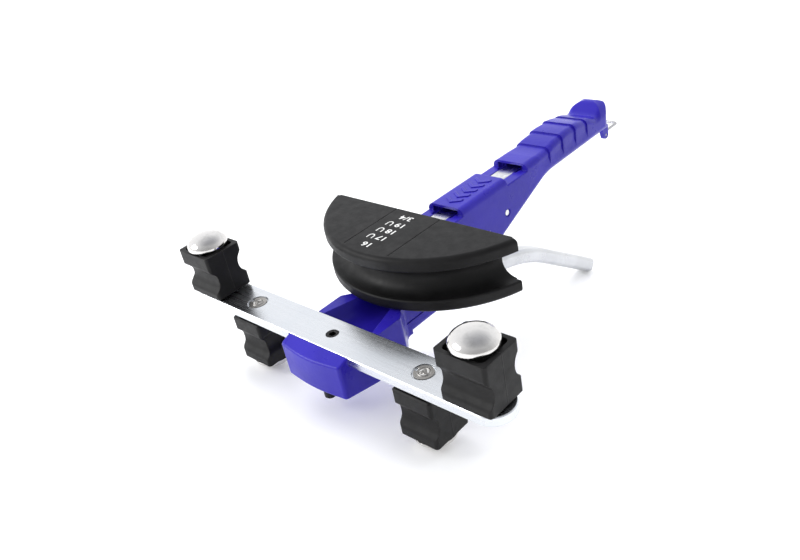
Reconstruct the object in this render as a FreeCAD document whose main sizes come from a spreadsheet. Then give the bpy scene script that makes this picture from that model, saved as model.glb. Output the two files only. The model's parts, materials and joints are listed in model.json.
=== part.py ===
import FreeCAD, Part
import math
import os
import Sketcher
from FreeCAD import Placement, Rotation, Vector

# A hand ratchet tube bender.  Squeezing the lever walks a toothed bar forward, and the half-round
# former on its nose bends the tube against the swivel blocks on the cross bar.
#
# Tool frame used while modelling: X along the cross bar, +Y towards the handle, Z square to the bar,
# origin at the middle of the bar's top face.  Every sub-part is then laid down by rest_pose(), which
# stands the tool on its two lower domes and the tip of its lever, with +Z up from the floor.

# ------------------------------------------------------------------ driving dimensions
DIMENSIONS = {
    # cross bar
    "bar_width": 25.0,
    "bar_thick": 6.0,
    "bar_half_length": 128.5,
    "outer_pitch": 110.0,
    "inner_pitch": 71.2,
    # tube and former
    "tube_radius": 9.5,
    "tube_height": 18.6,
    "bend_radius": 76.2,
    "former_radius": 79.5,
    "former_axis": 111.3,
    "former_back": 86.2,
    "former_thick": 35.6,
    "former_lip_round": 3.0,
    "mark_pitch": 18.2,
    # swivel blocks and their pins
    "top_block_width": 31.4,
    "top_block_depth": 26.6,
    "low_block_width": 27.2,
    "low_block_depth": 27.2,
    "block_height": 31.4,
    "washer_thick": 0.9,
    "washer_radius": 9.0,
    "face_gap": 0.05,
    "stem_radius": 4.0,
    "running_gap": 0.05,
    "dome_radius": 13.2,
    "dome_height": 7.2,
    "dome_rim": 0.4,
    "dome_lift": 1.3,
    "collar_radius": 7.0,
    "seat_depth": 3.5,
    "seat_cut": 5.0,
    "ring_radius": 5.9,
    "ring_thick": 1.0,
    # casting
    "body_width": 29.0,
    "arm_bottom": 26.5,
    "arm_top": 1.2,
    "wall_front": 87.6,
    "ledge_height": 25.4,
    "bridge_front": 110.5,
    "bridge_back": 158.0,
    "bridge_height": 30.2,
    "grip_front": 182.0,
    "grip_bottom": 12.8,
    "grip_end": 294.0,
    "knob_height": 36.0,
    "nose_width": 51.0,
    "nose_front": 20.0,
    "nose_bottom": 29.5,
    "cradle_end": 44.0,
    # toothed bar
    "rack_width": 12.0,
    "rack_bottom": 16.5,
    "rack_height": 9.0,
    "rack_start": 66.0,
    "rack_end": 284.0,
    "tooth_pitch": 6.0,
    "tooth_depth": 3.0,
    "tooth_first": 101.0,
    "slide_gap": 0.35,
    "tunnel_roof": 27.9,
    "slot_width": 15.6,
    # lever and pawls
    "pivot_place": 124.0,
    "pivot_height": -4.0,
    "pivot_radius": 3.0,
    "lever_width": 14.6,
    "lever_thick": 11.5,
    "fork_gap": 7.4,
    "pawl_thick": 4.4,
    "crank_radius": 11.0,
    "crank_angle": 18.5,
    "pawl_pin_radius": 1.8,
    "catch_place": 155.3,
    "catch_height": 6.3,
    "catch_pin_radius": 2.0,
    # holder inside the former
    "holder_width": 20.0,
    "holder_height": 16.0,
    "holder_front": 62.4,
    # keeper loop
    "loop_radius": 1.1,
    "loop_half_width": 7.0,
    "loop_place": 291.0,
    "loop_height": 7.8,
    "loop_reach": 315.0,
}


class Size:
    """A number that remembers the spreadsheet formula it comes from."""

    def __init__(self, value, formula):
        self.value = float(value)
        self.formula = formula

    def joined(self, other, sign, value):
        return Size(value, "(" + self.formula + " " + sign + " " + other.formula + ")")

    def __add__(self, other):
        other = as_size(other)
        return self.joined(other, "+", self.value + other.value)

    def __radd__(self, other):
        return as_size(other) + self

    def __sub__(self, other):
        other = as_size(other)
        return self.joined(other, "-", self.value - other.value)

    def __rsub__(self, other):
        return as_size(other) - self

    def __mul__(self, other):
        other = as_size(other)
        return self.joined(other, "*", self.value * other.value)

    def __rmul__(self, other):
        return as_size(other) * self

    def __truediv__(self, other):
        other = as_size(other)
        return self.joined(other, "/", self.value / other.value)

    def __neg__(self):
        return Size(-self.value, "(0 - " + self.formula + ")")


def as_size(number):
    if isinstance(number, Size):
        return number
    text = repr(float(number))
    return Size(number, text if number >= 0 else "(0 - " + text[1:] + ")")


def sine(angle):
    return Size(math.sin(math.radians(angle.value)), "sin(" + angle.formula + ")")


def cosine(angle):
    return Size(math.cos(math.radians(angle.value)), "cos(" + angle.formula + ")")


def root(square):
    return Size(math.sqrt(square.value), "sqrt(" + square.formula + ")")


doc = FreeCAD.newDocument("tube_bender")
sheet = doc.addObject("Spreadsheet::Sheet", "Dims")
dims = {}
for row, (alias, number) in enumerate(DIMENSIONS.items(), start=1):
    sheet.set("A%d" % row, alias)
    sheet.set("B%d" % row, str(number))
    sheet.setAlias("B%d" % row, alias)
    dims[alias] = Size(number, "Dims." + alias)
doc.recompute()


class Named:
    """dims['bar_width'] written as d.bar_width."""

    def __getattr__(self, alias):
        return dims[alias]


d = Named()
nodes = []


# ------------------------------------------------------------------ where the tool rests
dome_top = d.washer_thick + d.face_gap * 2 + d.block_height + d.dome_lift + d.dome_rim + d.dome_height
LEVER_TIP = (268.0, -100.3)     # centre of the lever's round tip: place along Y, height


def rest_pose():
    """Tilt about X, and lift, that stand the lower domes and the lever's tip on the floor."""
    tip_radius = d.lever_thick.value / 2
    # the dome is flat enough at its crown to be read as the sphere through its rim and crown
    rim = d.dome_radius.value
    height = d.dome_height.value
    crown_radius = (rim * rim + height * height) / (2 * height)
    crown_centre = -(d.bar_thick + dome_top).value + crown_radius
    # line that touches both circles from below, in the YZ plane
    run = LEVER_TIP[0]
    rise = crown_centre - LEVER_TIP[1]
    reach = math.hypot(run, rise)
    tilt = math.atan2(rise, run) + math.asin((tip_radius - crown_radius) / reach)
    lift = crown_radius - crown_centre * math.cos(tilt)
    return Placement(Vector(0, 0, lift), Rotation(Vector(1, 0, 0), math.degrees(tilt)))


REST = rest_pose()


def node(thing, name, local=None):
    """Name a finished sub-part, lay it in the resting pose and list it for export."""
    thing.Label = name
    thing.Placement = REST * local if local else REST
    nodes.append(thing)
    return thing


# ------------------------------------------------------------------ sketches and features
def new_body(name):
    return doc.addObject("PartDesign::Body", name)


def new_sketch(body, plane, offset=None):
    """Sketch on one of the body's own origin planes, moved along its normal."""
    sketch = body.newObject("Sketcher::SketchObject", body.Name + "_sketch")
    support = [f for f in body.Origin.OriginFeatures if f.Role == plane + "_Plane"][0]
    sketch.AttachmentSupport = [(support, "")]
    sketch.MapMode = "FlatFace"
    if offset is not None:
        sketch.setExpression(".AttachmentOffset.Base.z", as_size(offset).formula)
    return sketch


def drive(sketch, index, size):
    """Bind a sketch dimension to the spreadsheet."""
    label = "size%d" % index
    sketch.renameConstraint(index, label)
    sketch.setExpression("Constraints." + label, size.formula)


def fix_point(sketch, geo, end, x, y):
    for kind, size in (("DistanceX", as_size(x)), ("DistanceY", as_size(y))):
        index = sketch.addConstraint(Sketcher.Constraint(kind, -1, 1, geo, end, size.value))
        if "Dims" in size.formula:
            drive(sketch, index, size)


def corner(before, at, after, radius):
    """Tangent points, centre and turn of a rounded corner, as plain numbers."""
    into = (at - before).normalize()
    out = (after - at).normalize()
    turn = into.x * out.y - into.y * out.x
    half = math.acos(max(-1.0, min(1.0, into.dot(out)))) / 2
    back = radius * math.tan(half)
    entry = at - into * back
    leave = at + out * back
    side = 1 if turn > 0 else -1
    centre = entry + Vector(-into.y, into.x, 0) * radius * side
    return entry, leave, centre, side


def arc_between(centre, start, end, radius):
    first = math.atan2(start.y - centre.y, start.x - centre.x)
    last = math.atan2(end.y - centre.y, end.x - centre.x)
    if last <= first:
        last += 2 * math.pi
    return Part.ArcOfCircle(Part.Circle(centre, Vector(0, 0, 1), radius), first, last)


def outline(sketch, vertices, closed=True):
    """Straight sides through the vertices; a third value in a vertex rounds it to that radius."""
    count = len(vertices)
    points = [Vector(as_size(v[0]).value, as_size(v[1]).value, 0) for v in vertices]
    rounds = [as_size(v[2]) if len(v) > 2 else None for v in vertices]
    corners = []
    for i in range(count):
        if rounds[i]:
            corners.append(corner(points[i - 1], points[i], points[(i + 1) % count], rounds[i].value))
        else:
            corners.append((points[i], points[i], None, 0))
    sides = []
    for i in range(count if closed else count - 1):
        segment = Part.LineSegment(corners[i][1], corners[(i + 1) % count][0])
        sides.append(sketch.addGeometry(segment, False))
    for i in range(count):
        x, y = vertices[i][0], vertices[i][1]
        after = sides[i] if i < len(sides) else None
        before = sides[i - 1] if closed or i > 0 else None
        if not rounds[i]:
            if after is None:
                fix_point(sketch, before, 2, x, y)
                continue
            fix_point(sketch, after, 1, x, y)
            if before is not None:
                sketch.addConstraint(Sketcher.Constraint("Coincident", before, 2, after, 1))
            continue
        entry, leave, centre, side = corners[i]
        start, end = (entry, leave) if side > 0 else (leave, entry)
        arc = sketch.addGeometry(arc_between(centre, start, end, rounds[i].value), False)
        virtual = sketch.addGeometry(Part.Point(points[i]), True)
        fix_point(sketch, virtual, 1, x, y)
        sketch.addConstraint(Sketcher.Constraint("PointOnObject", virtual, 1, before))
        sketch.addConstraint(Sketcher.Constraint("PointOnObject", virtual, 1, after))
        entry_end = 1 if side > 0 else 2
        sketch.addConstraint(Sketcher.Constraint("Tangent", before, 2, arc, entry_end))
        sketch.addConstraint(Sketcher.Constraint("Tangent", after, 1, arc, 3 - entry_end))
        index = sketch.addConstraint(Sketcher.Constraint("Radius", arc, rounds[i].value))
        if "Dims" in rounds[i].formula:
            drive(sketch, index, rounds[i])
    return sketch


def circle(sketch, x, y, radius):
    radius = as_size(radius)
    centre = Vector(as_size(x).value, as_size(y).value, 0)
    geo = sketch.addGeometry(Part.Circle(centre, Vector(0, 0, 1), radius.value), False)
    fix_point(sketch, geo, 3, x, y)
    index = sketch.addConstraint(Sketcher.Constraint("Radius", geo, radius.value))
    if "Dims" in radius.formula:
        drive(sketch, index, radius)
    return sketch


def box_outline(sketch, x0, x1, y0, y1, rounding=None):
    tail = (rounding,) if rounding else ()
    return outline(sketch, [(x0, y0) + tail, (x1, y0) + tail, (x1, y1) + tail, (x0, y1) + tail])


def extrude(body, kind, sketch, length, both=False, flip=False):
    """Pad or Pocket of a sketch: to both sides of its plane, or one side only."""
    feature = body.newObject("PartDesign::" + kind, body.Name + "_" + kind.lower())
    feature.Profile = sketch
    feature.SideType = "Symmetric" if both else "One side"
    feature.Reversed = flip
    feature.setExpression("Length", as_size(length).formula)
    doc.recompute()
    return feature


def pad(body, sketch, length, both=False, flip=False):
    return extrude(body, "Pad", sketch, length, both, flip)


def pocket(body, sketch, length, both=False, flip=False):
    """Pocket that must remove material."""
    before = body.Shape.Volume
    feature = extrude(body, "Pocket", sketch, length, both, flip)
    if not body.Shape.Volume < before - 1e-6:
        raise RuntimeError(feature.Name + " cuts nothing")
    return feature


def revolve(body, kind, sketch, axis):
    feature = body.newObject("PartDesign::" + kind, body.Name + "_" + kind.lower())
    feature.Profile = sketch
    feature.ReferenceAxis = axis
    feature.Angle = 360
    doc.recompute()
    return feature


def soften(body, kind, size, wanted):
    """Fillet or Chamfer on the edges that the test picks."""
    tip = body.Tip
    names = ["Edge%d" % (i + 1) for i, edge in enumerate(tip.Shape.Edges) if wanted(edge)]
    if not names:
        raise RuntimeError(body.Name + ": no edge to soften")
    feature = body.newObject("PartDesign::" + kind, body.Name + "_" + kind.lower())
    feature.Base = (tip, names)
    feature.setExpression("Radius" if kind == "Fillet" else "Size", as_size(size).formula)
    doc.recompute()
    if feature.Shape.isNull() or not feature.Shape.isValid():
        raise RuntimeError(feature.Name + " failed")
    return feature


def middle(edge):
    first, last = edge.ParameterRange
    return edge.valueAt((first + last) / 2)


def direction(edge):
    """Unit vector along the edge at its middle, or a null vector on an edge shrunk to a point."""
    first, last = edge.ParameterRange
    step = (last - first) * 0.01
    run = edge.valueAt((first + last) / 2 + step) - edge.valueAt((first + last) / 2 - step)
    return run.normalize() if run.Length > 1e-7 else Vector()


def near(value, size, slack=0.02):
    return abs(value - as_size(size).value) < slack


# ------------------------------------------------------------------ primitives
TURN = {"x": Rotation(Vector(0, 1, 0), 90), "y": Rotation(Vector(1, 0, 0), -90), "z": Rotation()}


def cylinder(name, radius, length, centre, axis="z"):
    """Round bar of the given length, with its middle at centre."""
    thing = doc.addObject("Part::Cylinder", name)
    length = as_size(length)
    thing.setExpression("Radius", as_size(radius).formula)
    thing.setExpression("Height", length.formula)
    middle_point = Vector(*[as_size(c).value for c in centre])
    start = middle_point - TURN[axis].multVec(Vector(0, 0, length.value / 2))
    thing.Placement = Placement(start, TURN[axis])
    return thing


def ring(name, outer, inner, length, centre, axis="z"):
    whole = cylinder(name + "_disc", outer, length, centre, axis)
    hole = cylinder(name + "_hole", inner, as_size(length) + 2, centre, axis)
    cut = doc.addObject("Part::Cut", name)
    cut.Base = whole
    cut.Tool = hole
    return cut


def group(name, things):
    """Several separate solids that share one node."""
    compound = doc.addObject("Part::Compound", name + "_set")
    compound.Links = things
    return node(compound, name)


def coil(name, mean_radius, wire_radius, pitch, turns):
    """Coil spring along +Z from the origin."""
    spine = doc.addObject("Part::Helix", name + "_spine")
    spine.setExpression("Radius", as_size(mean_radius).formula)
    spine.setExpression("Pitch", as_size(pitch).formula)
    spine.setExpression("Height", (as_size(pitch) * turns).formula)
    spine.SegmentLength = 1
    section = doc.addObject("Part::Circle", name + "_section")
    section.setExpression("Radius", as_size(wire_radius).formula)
    section.Placement = Placement(Vector(as_size(mean_radius).value, 0, 0), TURN["y"])
    sweep = doc.addObject("Part::Sweep", name)
    sweep.Sections = [section]
    sweep.Spine = (spine, [])
    sweep.Solid = True
    sweep.Frenet = True
    return sweep


# ------------------------------------------------------------------ casting: arm, housing and grip
def side_shape(body):
    """Side view of arm, housing and grip, as wide as the hand grip."""
    outline(new_sketch(body, "YZ"), [
        (30.0, -d.arm_bottom),
        (106.0, -d.arm_bottom, 14.0),
        (206.0, d.grip_bottom, 45.0),
        (d.grip_end, d.grip_bottom + 1.0, 5.0),
        (d.grip_end, d.knob_height, 5.0),
        (286.0, d.knob_height, 6.0),
        (276.5, 27.6, 7.0),
        (265.0, 31.6, 9.0),
        (246.0, 35.2, 30.0),
        (226.0, 34.2, 30.0),
        (204.0, d.bridge_height, 30.0),
        (d.grip_front, d.bridge_height),
        (d.grip_front, d.ledge_height),
        (d.bridge_back, d.ledge_height),
        (d.bridge_back, d.bridge_height),
        (d.bridge_front, d.bridge_height),
        (d.bridge_front, d.ledge_height),
        (d.wall_front, d.ledge_height),
        (d.wall_front, -d.arm_top),
        (30.0, -d.arm_top),
    ])
    return pad(body, body.Group[-1], d.body_width, both=True)


def on_side(edge, size):
    return near(abs(middle(edge).x), size) and abs(direction(edge).x) < 0.01


def make_casting():
    body = new_body("casting")
    side_shape(body)
    half = d.body_width / 2
    soften(body, "Fillet", 4.6, lambda e: on_side(e, half) and middle(e).y > d.grip_front.value + 1.0)
    soften(body, "Fillet", 4.6, lambda e: on_side(e, half) and middle(e).z > 29.5
           and middle(e).y < d.bridge_back.value)
    soften(body, "Fillet", 1.0, lambda e: on_side(e, half) and near(middle(e).z, d.ledge_height)
           and abs(direction(e).y) > 0.99)
    end_round = outline(new_sketch(body, "XY"), [
        (half + 2.0, 280.0), (half + 2.0, 297.0), (-half - 2.0, 297.0), (-half - 2.0, 280.0),
        (-half - 0.02, 280.0), (-half - 0.02, d.grip_end + 0.02, 9.5),
        (half + 0.02, d.grip_end + 0.02, 9.5), (half + 0.02, 280.0)])
    pocket(body, end_round, 120.0, both=True)
    add_nose(body)
    add_ears(body)
    cut_cradle(body)
    cut_rack_channel(body)
    cut_mechanism_slot(body)
    cut_grip_details(body)
    cut_holes(body)
    return node(body, "body_casting")


def add_nose(body):
    """Wide block that carries the cross bar, flared back into the arm."""
    wide = d.nose_width / 2
    half = d.body_width / 2
    plan = outline(new_sketch(body, "XY", -d.nose_bottom), [
        (-wide, -d.nose_front, 2.5),
        (0.0, -d.nose_front - 3.4, 100.0),
        (wide, -d.nose_front, 2.5),
        (wide + 0.3, 31.5, 3.0),
        (half, d.cradle_end, 6.0),
        (half, d.cradle_end + 5.0),
        (-half, d.cradle_end + 5.0),
        (-half, d.cradle_end, 6.0),
        (-wide - 0.3, 31.5, 3.0),
    ])
    pad(body, plan, d.nose_bottom)
    lip = outline(new_sketch(body, "YZ"), [(-27.0, 1.0), (-12.8, 1.0), (-12.8, -0.2), (-27.0, -5.0)])
    pocket(body, lip, 60.0, both=True)
    under = outline(new_sketch(body, "YZ"), [
        (-27.0, -31.0), (-27.0, -23.9), (4.0, -d.nose_bottom - 0.4), (4.0, -31.0)])
    pocket(body, under, 60.0, both=True)
    behind = outline(new_sketch(body, "YZ"), [
        (26.0, -31.0), (26.0, -d.nose_bottom), (46.0, -d.arm_bottom), (50.0, -d.arm_bottom), (50.0, -31.0)])
    pocket(body, behind, 60.0, both=True)
    soften(body, "Fillet", 1.6, lambda e: middle(e).y < 0.0 and middle(e).z < -20.0
           and abs(direction(e).z) < 0.6)
    soften(body, "Fillet", 1.6, lambda e: middle(e).y < -12.9 and -5.0 < middle(e).z < -0.3
           and abs(direction(e).z) < 0.6)
    slot = box_outline(new_sketch(body, "YZ"), -d.bar_width / 2 - d.face_gap, d.bar_width / 2 + d.face_gap,
                       -d.bar_thick - d.face_gap, 3.0)
    pocket(body, slot, 60.0, both=True)


def add_ears(body):
    """Two ears below the end of the grip, for the keeper loop."""
    place, height = d.loop_place, d.loop_height
    ear = outline(new_sketch(body, "YZ"), [
        (place - 6.5, d.grip_bottom + 3.0),
        (place - 2.9, height - 2.7, 2.4),
        (place + 2.9, height - 2.7, 2.7),
        (place + 2.6, d.grip_bottom + 3.0)])
    pad(body, ear, d.loop_half_width * 2 + 9.4, both=True)
    between = box_outline(new_sketch(body, "YZ"), place - 9.0, place + 6.0, -3.0, d.grip_bottom + 0.8)
    pocket(body, between, d.loop_half_width * 2 + 3.2, both=True)
    eye = circle(new_sketch(body, "YZ"), place, height, d.loop_radius + d.running_gap)
    pocket(body, eye, d.body_width, both=True)


def cut_cradle(body):
    """Scoop between the two wings behind the bar, running back as a trough along the arm."""
    front = outline(new_sketch(body, "XZ", -(d.bar_width / 2 - 1.0)), [
        (-23.2, 3.0), (-13.5, -12.5, 12.0), (13.5, -12.5, 12.0), (23.2, 3.0)])
    back = outline(new_sketch(body, "XZ", -d.cradle_end - 2.0), [
        (-11.0, 3.0), (-8.5, -12.5, 9.0), (8.5, -12.5, 9.0), (11.0, 3.0)])
    scoop = body.newObject("PartDesign::SubtractiveLoft", "scoop")
    scoop.Profile = front
    scoop.Sections = [(back, [""])]
    doc.recompute()
    trough = outline(new_sketch(body, "XZ", -d.cradle_end - 2.0), [
        (-11.0, 3.0), (-8.5, -12.5, 9.0), (8.5, -12.5, 9.0), (11.0, 3.0)])
    pocket(body, trough, 38.0)


def cut_rack_channel(body):
    """Tunnel for the toothed bar, open at the two windows, with a recess under each roof's edge."""
    half = d.rack_width / 2 + d.slide_gap
    tunnel = box_outline(new_sketch(body, "XZ", -d.wall_front + 1.0), -half, half,
                         d.rack_bottom - d.slide_gap, d.tunnel_roof)
    pocket(body, tunnel, d.rack_end + 2.0 - d.wall_front)
    for roof_edge in (d.bridge_front, d.grip_front):
        recess = box_outline(new_sketch(body, "XZ", 1.0 - roof_edge), -10.4, 10.4, d.ledge_height - 1.2,
                             d.tunnel_roof + 0.6)
        pocket(body, recess, 3.6)
        step = box_outline(new_sketch(body, "XZ", 5.0 - roof_edge), -8.4, 8.4, d.ledge_height - 1.2,
                           d.tunnel_roof)
        pocket(body, step, 9.0)


def cut_mechanism_slot(body):
    """Slot for lever and pawls, open at the underside."""
    slot = outline(new_sketch(body, "YZ"), [
        (93.0, d.rack_bottom), (93.0, 4.0), (111.5, -7.0), (111.5, -40.0), (177.0, -40.0),
        (177.0, d.rack_bottom)])
    pocket(body, slot, d.slot_width, both=True)


def scale_band(body, place, crown, depth):
    """Band outside the grip's surface at one place, for the tapered cut behind each finger ridge."""
    edge = d.body_width / 2 - depth
    return outline(new_sketch(body, "XZ", -place), [
        (-17.0, 18.5), (-d.body_width / 2 - 0.05, 18.5), (-edge, 24.0), (-edge, crown - depth, 4.2),
        (edge, crown - depth, 4.2), (edge, 24.0), (d.body_width / 2 + 0.05, 18.5), (17.0, 18.5),
        (17.0, 42.0), (-17.0, 42.0)])


def cut_grip_details(body):
    """Overlapping finger ridges over the grip, a rounded knob and a line along the arm."""
    crowns = ((193.0, 30.2), (201.5, 30.3), (210.0, 31.2), (218.0, 32.7), (227.0, 33.9), (235.5, 34.6),
              (244.0, 34.8), (252.0, 34.0), (260.0, 32.6))
    for i in range(0, 8, 2):
        bands = []
        for (place, crown), depth in zip(crowns[i:i + 3], (-0.06, 0.3, 0.95)):
            bands.append(scale_band(body, place, crown, depth))
        taper = body.newObject("PartDesign::SubtractiveLoft", "ridge%d" % i)
        taper.Profile = bands[0]
        taper.Sections = [(band, [""]) for band in bands[1:]]
        doc.recompute()
    knob = outline(new_sketch(body, "XZ", -279.0), [
        (-17.0, 23.0), (-d.body_width / 2 - 0.02, 23.0), (-d.body_width / 2 - 0.02, d.knob_height, 12.0),
        (d.body_width / 2 + 0.02, d.knob_height, 12.0), (d.body_width / 2 + 0.02, 23.0), (17.0, 23.0),
        (17.0, 42.0), (-17.0, 42.0)])
    pocket(body, knob, 17.0)
    line = new_sketch(body, "XZ", -d.cradle_end - 1.0)
    box_outline(line, d.body_width / 2 - 0.6, d.body_width / 2 + 1.0, -17.6, -16.4)
    box_outline(line, -d.body_width / 2 - 1.0, 0.6 - d.body_width / 2, -17.6, -16.4)
    pocket(body, line, 55.0)


def cut_holes(body):
    across = ((d.pivot_place, d.pivot_height, d.pivot_radius),
              (d.catch_place, d.catch_height, d.catch_pin_radius),
              (134.5, 1.2, 1.3))
    for place, height, radius in across:
        pocket(body, circle(new_sketch(body, "YZ"), place, height, as_size(radius) + 0.02), 40.0, both=True)
    for side in (1, -1):
        sink = circle(new_sketch(body, "YZ", (d.body_width / 2 - 0.7) * side), d.catch_place,
                      d.catch_height, 3.0)
        pocket(body, sink, 3.0, flip=side > 0)
    bolt = circle(new_sketch(body, "XY", -24.0), 0.0, 0.0, 4.02)
    pocket(body, bolt, 20.0, flip=True)
    anchor = circle(new_sketch(body, "XY", -13.8), 0.0, -12.5, 3.82)
    pocket(body, anchor, 20.0)


# ------------------------------------------------------------------ cross bar and its fasteners
PIN_PLACES = ((d.outer_pitch, 1), (-d.outer_pitch, 1), (d.inner_pitch, -1), (-d.inner_pitch, -1))


def stand(place, side):
    """Frame of one swivel: +Z away from the bar, on the bar's top (side 1) or its underside (-1)."""
    if side > 0:
        return Placement(Vector(place.value, 0, 0), Rotation())
    return Placement(Vector(place.value, 0, -d.bar_thick.value), Rotation(Vector(0, 1, 0), 180))


def make_cross_bar():
    body = new_body("bar")
    half = d.bar_width / 2
    pad(body, box_outline(new_sketch(body, "XY", -d.bar_thick), -d.bar_half_length, d.bar_half_length,
                          -half, half, half - 0.1), d.bar_thick)
    soften(body, "Chamfer", 0.5, lambda e: abs(direction(e).z) < 0.01)
    pocket(body, circle(new_sketch(body, "XY"), 0.0, 0.0, 4.05), 20.0, both=True)
    for place, side in PIN_PLACES:
        pocket(body, circle(new_sketch(body, "XY"), place, 0.0, d.stem_radius + 0.02), 20.0, both=True)
        level = -d.bar_thick + 1.2 if side > 0 else as_size(-1.2)
        well = circle(new_sketch(body, "XY", level), place, 0.0, d.ring_radius + 0.9)
        pocket(body, well, 3.0, flip=side < 0)
    return node(body, "cross_bar")


def make_domed_pin(place, side, number):
    """Swivel pin: stem through block and bar, collar in the block's seat, domed head."""
    seat = d.washer_thick + d.face_gap * 2 + d.block_height - d.seat_depth + 0.05
    under = seat - 0.05 + d.seat_depth + d.dome_lift
    stem_start = 0.1 - d.bar_thick
    stem = cylinder("stem%d" % number, d.stem_radius, seat + 1.0 - stem_start,
                    (0, 0, (seat + 1.0 + stem_start) / 2))
    collar = cylinder("collar%d" % number, d.collar_radius, under - seat + 0.4,
                      (0, 0, (under + seat + 0.4) / 2))
    rim = cylinder("rim%d" % number, d.dome_radius, d.dome_rim, (0, 0, under + d.dome_rim / 2))
    dome = doc.addObject("Part::Ellipsoid", "dome%d" % number)
    dome.setExpression("Radius1", d.dome_height.formula)
    dome.setExpression("Radius2", d.dome_radius.formula)
    dome.setExpression("Radius3", d.dome_radius.formula)
    dome.Angle1 = 0
    dome.Placement = Placement(Vector(0, 0, (under + d.dome_rim).value), Rotation())
    pin = doc.addObject("Part::MultiFuse", "domed_pin%d" % number)
    pin.Shapes = [stem, collar, rim, dome]
    pin.Refine = True
    pin.Placement = stand(place, side)
    return pin


def make_fasteners():
    pins = []
    rings = []
    washers = []
    for number, (place, side) in enumerate(PIN_PLACES):
        pins.append(make_domed_pin(place, side, number))
        face = -d.bar_thick + 0.65
        whole = ring("ring%d" % number, d.ring_radius, d.stem_radius + 0.02, d.ring_thick, (0, 0, face))
        gap = doc.addObject("Part::Box", "gap%d" % number)
        gap.Length, gap.Width, gap.Height = 8.0, 2.6, 3.0
        gap.Placement = Placement(Vector(0, -1.3, face.value - 1.5), Rotation())
        lock = doc.addObject("Part::Cut", "lock%d" % number)
        lock.Base = whole
        lock.Tool = gap
        lock.Placement = stand(place, side)
        rings.append(lock)
        washer = ring("washer%d" % number, d.washer_radius, d.stem_radius + d.running_gap,
                      d.washer_thick, (0, 0, d.face_gap + d.washer_thick / 2))
        washer.Placement = stand(place, side)
        washers.append(washer)
    group("domed_pins", pins)
    group("retaining_rings", rings)
    group("block_washers", washers)


def make_centre_screw():
    body = new_body("screw")
    pad(body, circle(new_sketch(body, "XY", -23.5), 0.0, 0.0, 3.98), 23.3)
    corners = [(2.4 * math.cos(math.radians(60 * i)), 2.4 * math.sin(math.radians(60 * i))) for i in range(6)]
    pocket(body, outline(new_sketch(body, "XY"), corners), 3.2)
    soften(body, "Chamfer", 0.4, lambda e: near(e.BoundBox.XLength, 7.96) and abs(middle(e).z) < 1.0)
    return node(body, "centre_screw")


def make_anchor_screw():
    body = new_body("anchor")
    pad(body, circle(new_sketch(body, "XY", -37.6), 0.0, -12.5, 3.8), 23.6)
    soften(body, "Chamfer", 0.8, lambda e: middle(e).z < -37.0)
    return node(body, "anchor_screw")


# ------------------------------------------------------------------ swivel blocks
def soft_groove(body, plane, face, height, deep, half):
    """Outline of a groove with a round floor and rounded lips, cut into a face on the minus side."""
    skin = face + 0.02
    return outline(new_sketch(body, plane), [
        (face - 4.0, height + half + 3.0),
        (skin, height + half + 3.0),
        (skin, height + half, 3.4),
        (face + deep, height + half / 2 - 0.4, 6.0),
        (face + deep, height - half / 2 + 0.4, 6.0),
        (skin, height - half, 3.4),
        (skin, height - half - 3.0),
        (face - 4.0, height - half - 3.0)])


def make_block(name, width, depth, place, side):
    """Block that turns on its pin, with a tube groove across each of its four faces."""
    body = new_body(name + "_body")
    base = d.washer_thick + d.face_gap * 2
    centre = d.tube_height if side > 0 else d.block_height / 2 + base
    pad(body, box_outline(new_sketch(body, "XY", base), -width / 2, width / 2, -depth / 2, depth / 2, 2.2),
        d.block_height)
    # the groove that takes the tube, then spare grooves with soft lips on the front and on one flank
    pocket(body, circle(new_sketch(body, "YZ"), depth / 2 + d.tube_radius + 0.1 - d.seat_cut, centre,
                        d.tube_radius + 0.1), 60.0, both=True)
    middle_height = base + d.block_height / 2
    lean = -2.4 if side > 0 else 1.9
    pocket(body, soft_groove(body, "YZ", -depth / 2, middle_height + lean, 4.2, 8.2), 60.0, both=True)
    if place.value < 0.0:
        pocket(body, soft_groove(body, "XZ", -width / 2, middle_height + 0.6, 2.9, 7.4), 60.0, both=True)
    top = base + d.block_height
    seat = box_outline(new_sketch(body, "XY", top), 3.0 - width / 2, width / 2 - 3.0,
                       2.5 - depth / 2, depth / 2 - 2.5, 3.0)
    pocket(body, seat, d.seat_depth)
    soften(body, "Chamfer", 0.9, lambda e: near(middle(e).z, base) and abs(direction(e).z) < 0.01)
    pocket(body, circle(new_sketch(body, "XY"), 0.0, 0.0, d.stem_radius + d.running_gap), 90.0, both=True)
    return node(body, name, stand(place, side))


# ------------------------------------------------------------------ toothed bar, holder and former
def make_rack():
    body = new_body("rack")
    top = d.rack_bottom + d.rack_height
    pad(body, box_outline(new_sketch(body, "YZ"), d.rack_start, d.rack_end, d.rack_bottom, top),
        d.rack_width, both=True)
    soften(body, "Chamfer", 0.6, lambda e: near(middle(e).z, top) and abs(direction(e).y) > 0.99)
    soften(body, "Chamfer", 0.8, lambda e: near(middle(e).y, d.rack_end) and abs(direction(e).x) > 0.99)
    first = d.tooth_first
    gap = outline(new_sketch(body, "YZ"), [
        (first, d.rack_bottom + d.tooth_depth), (first - 1.4, d.rack_bottom - 0.8),
        (first + 5.6, d.rack_bottom - 0.8)])
    cut = pocket(body, gap, d.rack_width + 2.0, both=True)
    teeth = body.newObject("PartDesign::LinearPattern", "teeth")
    teeth.Originals = [cut]
    teeth.Direction = ([f for f in body.Origin.OriginFeatures if f.Role == "Y_Axis"][0], [""])
    teeth.setExpression("Length", (d.tooth_pitch * 24).formula)
    teeth.Occurrences = 25
    body.Tip = teeth
    doc.recompute()
    cross = circle(new_sketch(body, "XY"), 0.0, 74.0, 2.02)
    pocket(body, cross, 120.0, both=True)
    return node(body, "rack_bar")


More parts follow.
